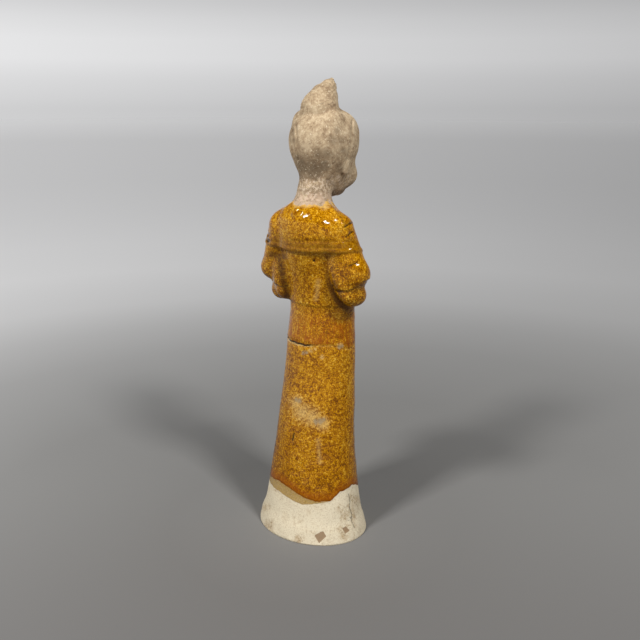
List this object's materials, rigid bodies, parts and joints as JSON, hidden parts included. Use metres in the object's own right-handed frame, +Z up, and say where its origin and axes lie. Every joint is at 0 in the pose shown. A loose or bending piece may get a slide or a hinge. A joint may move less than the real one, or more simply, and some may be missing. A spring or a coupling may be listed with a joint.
{
  "type": "tomb figure of a court lady",
  "caption": "Slender standing court lady in amber-glazed earthenware, hands joined in her sleeves, with a shawl and a tall tipped topknot.",
  "frame": {"origin": "middle of the flat underside that she stands on", "axes": "+Z up to the tip of the topknot; she faces -Y; her left is +X"},
  "size_m": [0.0659, 0.0575, 0.24],
  "materials": {
    "glazed_earthenware": "glossy, finely crazed, bare clay at head and foot"
  },
  "bodies": {
    "root": {"court_lady": "glazed_earthenware"}
  },
  "joints": []
}
